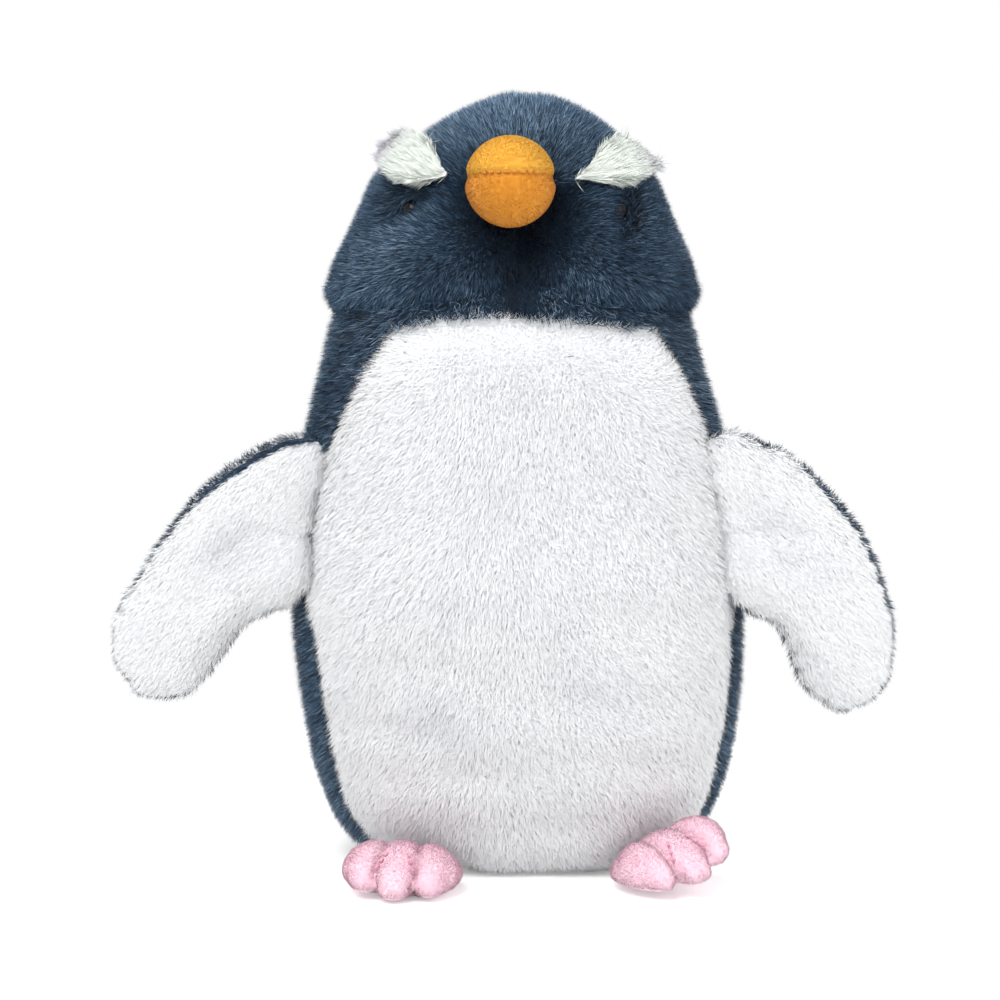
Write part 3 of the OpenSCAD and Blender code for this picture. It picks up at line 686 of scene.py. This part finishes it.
class TOY_OT_head(bpy.types.Operator):
    """Stuffed head skin with navy pile, pressed in round the beak, eyes, crown seam and chin"""

    bl_idname = "toy.head"
    bl_label = "Head"

    def execute(self, context):
        mat, sizes = materials(), context.scene.toy_sizes
        skin = stuffed(["head_stuffing"], "head_skin", 4 * MM, 1.7 * MM, 2.0, 1.5 * MM)
        co, no = points(skin), normals(skin)
        ball, r = beak_middle()
        eyes = eye_places()
        # each eye lies in a narrow slit: its direction seen from the front, and its length
        slits = ((eyes[0], (0.1, 1.0), 5.0), (eyes[1], (0.82, 0.57), 4.5))
        front = np.clip(-no[:, 1] * 1.5, 0, 1)

        def beside(p):
            """For each eye: how near a place is, where it lies across the slit, and how deep."""
            for e, way, long in slits:
                d = (p - e)[:, [0, 2]]
                way = np.array(way) / np.linalg.norm(way)
                side = np.array([-way[1], way[0]])
                along, across = d @ way, d @ side
                face = p[:, 1] < -0.02
                deep = bell(along, long * MM) * bell(across, 1.9 * MM) * face
                yield bell(np.linalg.norm(d, axis=1), 6 * MM) * face, across, side, deep

        def slit(p):
            """How deep a place lies in the slit of either eye."""
            return sum(deep for _, _, _, deep in beside(p))

        def lids(p):
            """How near a place is to either eye."""
            return sum(near for near, _, _, _ in beside(p))

        def chin(p):
            """The parting that runs from the beak down to the belly: pressed in, and its pile darkened with painted
            shade.
            """
            below = np.clip((ball[2] - r * 0.6 - p[:, 2]) / 0.03, 0, 1)
            wide = 10.0 - 5.0 * below
            return bell(p[:, 0] - 0.0015, wide * MM) * (p[:, 2] < ball[2]) * (p[:, 1] < -0.02)

        def ring(p):
            """1 round the beak's edge, and falling off outwards."""
            d = np.linalg.norm(p - ball, axis=1) - r
            return bell(np.maximum(d, 0), 4.5 * MM)

        # the chin, crown seam, beak and eyes are pressed in, and the lids bulge out
        press = 3.8 * MM * chin(co) * front + valley(co, (1, 252), (1, 236), 1.4, 2.5)
        press += 1.4 * MM * ring(co) + 4.5 * MM * slit(co) - 4.2 * MM * lids(co)
        outer = np.linalg.norm(co - NECK, axis=1) - NECK_R
        co = co - no * press[:, None]
        # the crown leans a little to the toy's left, and the jowls hang over the shoulders
        co[:, 0] += 4.0 * MM * np.clip((co[:, 2] - 0.218) / 0.028, 0, 1)
        hang = np.clip((0.214 - co[:, 2]) / 0.024, 0, 1) ** 1.3
        co[:, 2] -= 5.5 * MM * hang
        co[:, :2] += unit(no * [1, 1, 0])[:, :2] * (1.4 * MM * hang * (1 + (co[:, 0] < 0)) * (outer > 0))[:, None]
        set_points(skin, co)
        paint(skin, mat["navy_knit"])
        roots = Skin(skin, outer)

        def comb(p, n):
            """Head pile lies away from the beak and down over the neck, and closes over the eyes."""
            away = unit((p - ball) * [1.0, 0.3, 1.0])
            below = np.clip((0.208 - p[:, 2]) / 0.03, 0, 1)[:, None]
            drop = np.array([[0, 0.1, -1.0]])
            level = np.stack([np.sign(p[:, 0]), 0 * p[:, 0], 0 * p[:, 0]], 1) * (p[:, :1] < 0) * 0.5
            behind = np.clip(p[:, 1] / 0.03, 0, 1)[:, None]
            lie = (away + level) * (1 - 0.4 * below) * (1 - behind) + drop * (0.15 + 0.4 * below + behind)
            for near, across, side, _ in beside(p):
                lie = lie - np.stack([side[0] + 0 * near, 0 * near, side[1] + 0 * near], 1) * (
                    3.0 * near * np.sign(across)
                )[:, None]
            return lie

        def dark(p, n):
            """Painted light and shade on the head pile: shade in the eyes' slits, round the beak and down the chin;
            light on the crown, and on the toy's right side against its left.
            """
            # the beak's painted shadow is strongest above it and towards the toy's right
            upper = 1 + np.clip(unit(p - ball) @ [-0.7, 0, 0.7], 0, 1)
            return (
                -0.9 * slit(p) - 0.75 * chin(p) - 0.22 * ring(p) * upper
                + 0.14 * np.clip((p[:, 2] - 0.222) / 0.015, 0, 1) + 0.06 * np.clip(-p[:, 0] / 0.05, -1, 1)
            )

        for name, side, seed in (("head_pile_left", 1, 21), ("head_pile_right", -1, 22)):
            pile = grow(
                name, roots,
                lambda p, n, f, s, k=side: (p[:, 0] * k > -s)
                & (np.linalg.norm(p - ball, axis=1) > r * 0.93 - s) & (f > -s),
                97000, lambda p, n: sizes.navy_pile * (np.where(p[:, 2] < 0.186, 1.15, 1.0) + 0.2 * ring(p)), comb,
                lambda p, n: 76 - 24 * np.clip((0.192 - p[:, 2]) / 0.01, 0, 1) - 14 * np.clip(lids(p), 0, 1),
                seed, curl=8, clump=0.15, spread=0.55, tint=dark, vary=0.95, width=0.85, soft=0.6,
            )
            paint(pile, mat["navy"])
            neck_blend(pile)
        neck_blend(skin)
        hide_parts("head_panel_left", "head_panel_right", "head_stuffing")
        return {"FINISHED"}


class TOY_OT_brows(bpy.types.Operator):
    """Two fans of long straight off-white pile beside the beak"""

    bl_idname = "toy.brows"
    bl_label = "Brow tufts"

    def execute(self, context):
        mat, sizes = materials(), context.scene.toy_sizes
        for side, word, seed in ((1, "left", 31), (-1, "right", 32)):
            node = f"brow_tuft_{word}"
            pad = stuffed([node], f"brow_pad_{word}", 1.2 * MM, -0.9 * MM, 0, 0, smooth=3)
            paint(pad, mat["white_knit"])
            low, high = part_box(node)
            # the strands fan out from the pad's lower inner end
            root = np.array([low.x if side > 0 else high.x, low.y, low.z + (0.003 if side > 0 else 0.006)])
            fan = points(pad) - root
            fan *= [0.86, 1, 0.86]
            fan[:, 2] *= np.where(fan[:, 2] < 0, 0.5, 1)
            set_points(pad, root + fan)
            reach = np.linalg.norm(fan[:, [0, 2]], axis=1).max()

            def comb(p, n):
                return unit(p - root)

            def ends(p, n):
                """Brow pile is paler at its root and greyer towards its ends."""
                far = np.linalg.norm((p - root)[:, [0, 2]], axis=1) / reach
                return 0.22 - 0.5 * np.clip((far - 0.62) / 0.3, 0, 1) + 0.1 * wave(p, 0.006, seed)

            pile = grow(
                f"brow_pile_{word}", Skin(pad), lambda p, n, f, s: n[:, 1] < 0.95, 14000, sizes.brow_pile, comb,
                10, seed, curl=-4, clump=0.45, spread=0.06, width=0.85, tint=ends, vary=0.5,
            )
            paint(pile, mat["cream"])
            for o in (pad, pile):
                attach(o, "head")
            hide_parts(node)
        return {"FINISHED"}


class TOY_OT_beak(bpy.types.Operator):
    """Fleece ball beak with a stitched mouth seam"""

    bl_idname = "toy.beak"
    bl_label = "Beak"

    def execute(self, context):
        c, sizes = context.scene.toy_colours, context.scene.toy_sizes
        ball, r = beak_middle()
        # short polyester fleece: a dull, velvety face without gloss, a little darker in its hollows, painted shade;
        # the lower half amber, partly its own colour and partly painted shade, as light falls from above
        halves = (("Orange", list(c.orange), "#d9861f"), ("Amber-and-painted-shade", list(c.amber_and_painted_shade), "#cf7a17"))
        upper, lower = (
            fabric_material(f"{word} fleece", shade, between(shade, linear(deep), 0.3), 0.5, 0.12, 0.85, 0.3)
            for word, shade, deep in halves
        )
        bm = bmesh.new()
        bmesh.ops.create_uvsphere(bm, u_segments=72, v_segments=48, radius=r)
        obj = new_object(bm, "beak_skin")
        co = points(obj)
        # the mouth seam lies above the middle and tips down towards the back
        mouth, tilt = 2.2 * MM, math.radians(3)
        high = co[:, 2] * math.cos(tilt) + co[:, 1] * math.sin(tilt) - mouth
        ahead = np.clip(0.35 - co[:, 1] / r, 0, 1)
        flank = bell(np.abs(co[:, 0]) - r, 4 * MM)
        crease = bell(high, 0.8 * MM) * 0.5 * MM * ahead + bell(high + 1.2 * MM, 1.3 * MM) * 1.0 * MM * flank
        set_points(obj, (co - crease[:, None] * unit(co)) * 0.972 + ball)
        smooth_faces(obj.data)
        paint(obj, lower, upper)
        two_tone(obj, high)
        roots = Skin(obj, high)
        # the lower nap is amber as well: partly painted shade
        for word, shade, side, seed in (("upper", list(c.orange), 1, 41), ("lower", list(c.amber_and_painted_shade), -1, 42)):
            nap = grow(
                f"beak_nap_{word}", roots,
                lambda p, n, f, s, k=side: (f * k > -s) & (p[:, 1] < -0.046 + s),
                42000, sizes.fleece_pile, lambda p, n: np.tile([0.2, 0.0, -1.0], (len(p), 1)), 80, seed,
                curl=0, clump=0, spread=1.2, width=0.36, vary=0.3, soft=0.97,
            )
            deep = between(shade, linear("#e08a22"), 0.5)
            paint(nap, pile_material(
                f"Beak fleece nap {word}",
                [(0.0, between(shade, deep, 0.35)), (0.4, shade), (1.0, between(shade, linear("#ffd27a"), 0.3))],
                shade, 0.8, 0.1,
            ))
            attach(nap, "head")
        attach(obj, "head")
        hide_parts("beak_upper", "beak_lower", "beak_stuffing")
        # spun polyester thread: finely twisted, with a slight gloss, darker than the fleece
        thread = fabric_material("Orange sewing thread", linear("#c47c1e"), linear("#9c6212"), 0.3, 0.1, 0.6, 0.0)
        paint(frame["nodes"]["mouth_stitches"], thread)
        return {"FINISHED"}


class TOY_OT_eyes(bpy.types.Operator):
    """Black eye beads, which keep their modelled shape"""

    bl_idname = "toy.eyes"
    bl_label = "Eyes"

    def execute(self, context):
        # black ABS, polished in its mould: one small sharp glint, and dark all round it
        bead = plastic_material("Black ABS eye bead", linear("#040405"), 0.1, shine=0.15)
        # undyed polypropylene: milky and half matt
        washer = plastic_material("Natural polypropylene washer", linear("#cfcfca"), 0.4)
        for word in ("left", "right"):
            paint(frame["nodes"][f"eye_{word}"], bead)
            paint(frame["nodes"][f"eye_washer_{word}"], washer)
        return {"FINISHED"}


class TOY_OT_wings(bpy.types.Operator):
    """Flat stuffed wings, white in front and navy behind"""

    bl_idname = "toy.wings"
    bl_label = "Wings"

    def execute(self, context):
        mat, sizes = materials(), context.scene.toy_sizes
        for side, word, seed in ((1, "left", 51), (-1, "right", 52)):
            joint = JOINTS[f"wing_{word}_fold"]
            hinge = np.array(joint["pos_m"])
            skin = stuffed(
                [f"wing_stuffing_{word}"], f"wing_skin_{word}", 2.5 * MM, 1.5 * MM, 2.0, 1.0 * MM, smooth=3
            )
            co, no = points(skin), normals(skin)
            axis = np.array(joint["axis"])
            outward = np.array([abs(axis[2]) * side, 0, abs(axis[0])])
            dent = WING_DENTS[word]
            set_points(skin, co - no * (valley(co, *dent) * np.clip(-no[:, 1], 0, 1))[:, None])
            co = points(skin)
            # navy of the back shows along the upper rim, from the root or from further out
            far = (co - hinge) @ outward
            upper = np.clip(no[:, 2] * 1.5, 0, 1)
            reach = far / (26 * MM)
            shown = upper * np.clip(1.6 - reach if side < 0 else reach - 0.6, 0, 1)
            field = -(co[:, 1] - hinge[1]) - (0.8 + 1.5 * shown) * MM
            # the root spreads over the body's side: the white front forwards on to the belly's seam
            near = np.clip((9 * MM - far) / (12 * MM), 0, 1) ** 1.3
            white = np.clip(0.5 - (co[:, 1] - hinge[1]) / (6 * MM), 0, 1)
            rim = unit(no * [1, 0, 1]) * (np.clip(1 - np.abs(no[:, 1:2]) * 1.2, 0, 1) * (1 - near[:, None]))
            co = co + rim * 2.4 * MM
            lower = np.clip((hinge[2] - co[:, 2]) / (15 * MM), 0, 1)
            co = co - outward * (near * (8 + 3 * white + 3.5 * lower) * MM)[:, None]
            co[:, 1] -= near * 0.5 * white * MM
            co[:, 2] += near * 5 * MM * np.clip((co[:, 2] - hinge[2]) / (15 * MM), 0, 1)
            co[:, 2] += 5.5 * MM * lower * np.clip((26 * MM - far) / (22 * MM), 0, 1)
            set_points(skin, co)
            paint(skin, mat["navy_knit"], mat["white_knit"])
            two_tone(skin, field)
            roots = Skin(skin, field)

            def edge(n):
                """1 at the wing's rim and 0 on its flat sides."""
                return np.clip(1 - np.abs(n[:, 1]) * 1.4, 0, 1)

            def comb(p, n, k=side, h=hinge):
                """Wing pile lies towards the tip, and outwards at the rim."""
                along = np.array([[k * 0.6, 0.0, -0.72]])
                rim = unit((p - (h + [k * 0.02, 0, -0.013])) * [1, 0, 1])
                e = edge(n)[:, None] * np.clip((np.abs(p[:, :1]) - abs(h[0])) / (8 * MM), 0, 1)
                return along * (1 - e) + rim * (0.3 * e + e)

            for front, shade, count in ((1, "white", 50000), (-1, "navy", 42000)):
                full = sizes.white_pile * 0.85 if front > 0 else sizes.navy_pile * 0.65
                pile = grow(
                    f"wing_{'front' if front > 0 else 'back'}_pile_{word}", roots,
                    lambda p, n, f, s, k=front: f * k > -s,
                    count, lambda p, n, l=full, k=front: l * (1 + (0.1 if k > 0 else 0) * edge(n)),
                    comb, lambda p, n, k=front: (32 if k > 0 else 44) + 18 * edge(n), seed * 10 + front,
                    clump=0.08, vary=0.2 if front > 0 else 0.7, width=0.8, soft=0.9 if front > 0 else 0.65,
                    # the white pile darkens towards the rim and in the dent: painted shade
                    tint=(lambda p, n, d=dent: -0.3 * edge(n) ** 2 - 36 * valley(p, *d)) if front > 0 else None,
                )
                paint(pile, mat[shade])
                self.join(pile, word, side, hinge)
            self.join(skin, word, side, hinge)
            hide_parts(f"wing_front_{word}", f"wing_back_{word}", f"wing_stuffing_{word}")
        return {"FINISHED"}

    def join(self, obj, word, side, hinge):
        """Bakes the object's transform into its mesh."""
        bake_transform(obj)


class TOY_OT_feet(bpy.types.Operator):
    """Pink fleece feet with three toes each"""

    bl_idname = "toy.feet"
    bl_label = "Feet"

    def execute(self, context):
        c, sizes = context.scene.toy_colours, context.scene.toy_sizes
        pink = list(c.pink)
        # short polyester fleece: soft and matt, its hollows a deeper pink, painted shade
        fleece = fabric_material("Pink fleece", pink, between(pink, linear("#eea3bf"), 0.3), 0.5, 0.12, 0.85, 0.15)
        nap_look = pile_material(
            "Pink fleece nap",
            [(0.0, between(pink, linear("#f0a9c3"), 0.35)), (0.4, pink),
             (1.0, between(pink, linear("#fff2f7"), 0.5))],
            between(pink, linear("#eea3bf"), 0.15), 0.8, 0.1,
        )
        thread = fabric_material("Pink sewing thread", linear("#dc9cb2"), linear("#c07a94"), 0.3, 0.1, 0.6, 0.0)
        for side, word, seed in ((1, "left", 61), (-1, "right", 62)):
            skin = stuffed([f"foot_stuffing_{word}"], f"foot_skin_{word}", 1.6 * MM, 2.2 * MM, 0, 0, smooth=12)
            co, no = points(skin), normals(skin)
            joint = JOINTS[f"foot_{word}_fold"]
            hinge = np.array(joint["pos_m"])
            # the foot's own axes: across towards the outside, back to the heel, and up
            across = -np.array(joint["axis"])
            up = np.array([0, 0, 1.0]) - across * across[2]
            up = up / np.linalg.norm(up)
            back = np.cross(up, across)
            turn = np.array([across, back, up])
            local = (co - hinge) @ turn.T
            # the belly presses the back of the foot down, and the toes reach out a little
            front = np.clip(-local[:, 1] / (30 * MM), 0, 1)
            high = np.clip((local[:, 2] + 3 * MM) / (12 * MM), 0, 1)
            local[:, 2] -= (6.4 if side > 0 else 4.6) * MM * high * bell(local[:, 1] + 4 * MM, 12 * MM)
            local *= np.stack([1.05 + 0 * front, 1 + 0.07 * front, 1 + 0 * front], 1)
            co = local @ turn + hinge
            # two seams part the fleece into three round toes that fan out a little
            half = (13.0 + 6.0 * front) * MM
            toe = np.clip(local[:, 0] / half, -0.99, 0.99) * 1.5
            share = np.abs(2 * (toe - np.round(toe)))
            round_toe = 1 - np.sqrt(1 - np.clip(share, 0, 0.995) ** 3.0)
            inner = np.clip((1.42 - np.abs(toe)) / 0.25, 0, 1)
            groove = (2.6 + 2.2 * front) * MM * round_toe * inner * ((no @ up > -0.6) | (front > 0.75))
            co = co - no * groove[:, None]
            # soles rest on the table
            co[:, 2] = np.maximum(co[:, 2], 0.0003)
            set_points(skin, co)
            bm = bmesh.new()
            bm.from_mesh(skin.data)
            relax(bm, 1)
            bm.to_mesh(skin.data)
            bm.free()
            paint(skin, fleece)
            nap = grow(
                f"foot_nap_{word}", Skin(skin), lambda p, n, f, s: n[:, 2] > -0.75, 48000, sizes.fleece_pile,
                lambda p, n: np.tile([0.0, -1.0, -0.4], (len(p), 1)), 80, seed,
                curl=0, clump=0, spread=1.2, width=0.4, vary=0.3, soft=0.97,
            )
            paint(nap, nap_look)
            for o in (skin, nap):
                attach(o, f"foot_{word}")
            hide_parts(f"foot_top_{word}", f"foot_sole_{word}", f"foot_stuffing_{word}")
            paint(frame["nodes"][f"toe_stitches_{word}"], thread)
        return {"FINISHED"}


class TOY_OT_stage(bpy.types.Operator):
    """Pale floor, soft studio light and the camera"""

    bl_idname = "toy.stage"
    bl_label = "Stage"

    def execute(self, context):
        scene, c = context.scene, context.scene.toy_colours
        bm = bmesh.new()
        bmesh.ops.create_grid(bm, x_segments=1, y_segments=1, size=6)
        floor = new_object(bm, "floor")
        # matt white paper: a soft shadow close to the toy, and no edge to be seen further out
        made, tree = new_material("Matt white paper backdrop")
        paper = add(tree, "ShaderNodeBsdfPrincipled", Base_Color=rgba(list(c.floor)), Roughness=0.9)
        lit = add(tree, "ShaderNodeEmission", Color=(1, 1, 1, 1), Strength=0.3)
        near = add(tree, "ShaderNodeAddShader", {0: paper.outputs[0], 1: lit.outputs[0]})
        far = add(tree, "ShaderNodeEmission", Color=(1, 1, 1, 1), Strength=1.0)
        where = add(tree, "ShaderNodeTexCoord")
        flat = add(tree, "ShaderNodeVectorMath", {0: where.outputs["Object"]}, operation="LENGTH")
        # the lit paper fades to plain white between these distances from the toy
        fade = add(
            tree, "ShaderNodeMapRange", {0: flat.outputs["Value"]}, interpolation_type="SMOOTHSTEP",
            From_Min=0.12, From_Max=0.34,
        )
        shown = add(tree, "ShaderNodeMixShader", {0: fade.outputs[0], 1: near.outputs[0], 2: far.outputs[0]})
        rays = add(tree, "ShaderNodeLightPath")
        both = add(
            tree, "ShaderNodeMixShader", {0: rays.outputs["Is Camera Ray"], 1: paper.outputs[0], 2: shown.outputs[0]}
        )
        add(tree, "ShaderNodeOutputMaterial", {"Surface": both.outputs[0]})
        floor.data.materials.append(made)
        world = bpy.data.worlds.new("Soft studio")
        scene.world = world
        world.use_nodes = True
        t = world.node_tree
        t.nodes.clear()
        rays = add(t, "ShaderNodeLightPath")
        seen = rays.outputs["Is Camera Ray"]
        for ray in ("Is Glossy Ray", "Is Transmission Ray"):
            either = add(t, "ShaderNodeMath", {0: seen, 1: rays.outputs[ray]}, operation="MAXIMUM")
            seen = either.outputs[0]
        # full white where it is seen, and a little weaker as a light
        strength = add(t, "ShaderNodeMapRange", {0: seen}, To_Min=0.7, To_Max=1.0)
        sky = add(t, "ShaderNodeBackground", {"Strength": strength.outputs[0]}, Color=(1, 1, 1, 1))
        add(t, "ShaderNodeOutputWorld", {"Surface": sky.outputs[0]})
        middle = Vector((0, 0, 0.12))
        for name, place, size, power in (
            ("Key", (-0.5, -0.9, 1.2), 0.9, 17), ("Fill", (0.9, -0.9, 0.6), 1.0, 6), ("Back", (0.2, 1.0, 1.1), 0.9, 7)
        ):
            lamp = bpy.data.lights.new(name, "AREA")
            lamp.size = size
            lamp.energy = power
            o = bpy.data.objects.new(name, lamp)
            o.location = place
            o.rotation_euler = (middle - Vector(place)).to_track_quat("-Z", "Y").to_euler()
            scene.collection.objects.link(o)
        camera = bpy.data.cameras.new("Camera")
        camera.sensor_width = 36
        distance, view_width = 0.9, 0.325
        camera.lens = 36 * distance / view_width
        camera.clip_start, camera.clip_end = 0.01, 50
        o = bpy.data.objects.new("Camera", camera)
        rise = math.radians(5)
        aim = Vector((-0.0046, 0, 0.1155))
        o.location = aim + Vector((0, -math.cos(rise), math.sin(rise))) * distance
        o.rotation_euler = (aim - o.location).to_track_quat("-Z", "Y").to_euler()
        scene.collection.objects.link(o)
        scene.camera = o
        scene.view_settings.view_transform = "Standard"
        return {"FINISHED"}


OPERATORS = (
    TOY_OT_stage, TOY_OT_body, TOY_OT_head, TOY_OT_brows, TOY_OT_beak, TOY_OT_eyes, TOY_OT_wings, TOY_OT_feet,
)


class TOY_PT_panel(bpy.types.Panel):
    """Lists the sizes, the colours and the operators"""

    bl_label = "Plush penguin"
    bl_idname = "TOY_PT_panel"
    bl_space_type = "VIEW_3D"
    bl_region_type = "UI"
    bl_category = "Toy"

    def draw(self, context):
        for group in (context.scene.toy_sizes, context.scene.toy_colours):
            for key in group.__annotations__:
                self.layout.prop(group, key)
        for op in OPERATORS:
            self.layout.operator(op.bl_idname)


CLASSES = (ToySizes, ToyColours, *OPERATORS, TOY_PT_panel)


def register():
    for c in CLASSES:
        bpy.utils.register_class(c)
    bpy.types.Scene.toy_sizes = bpy.props.PointerProperty(type=ToySizes)
    bpy.types.Scene.toy_colours = bpy.props.PointerProperty(type=ToyColours)


def unregister():
    del bpy.types.Scene.toy_sizes
    del bpy.types.Scene.toy_colours
    for c in reversed(CLASSES):
        bpy.utils.unregister_class(c)


def main():
    """Makes every piece in order."""
    register()
    for op in OPERATORS:
        group, name = op.bl_idname.split(".")
        getattr(getattr(bpy.ops, group), name)()


if __name__ == "__main__":
    main()
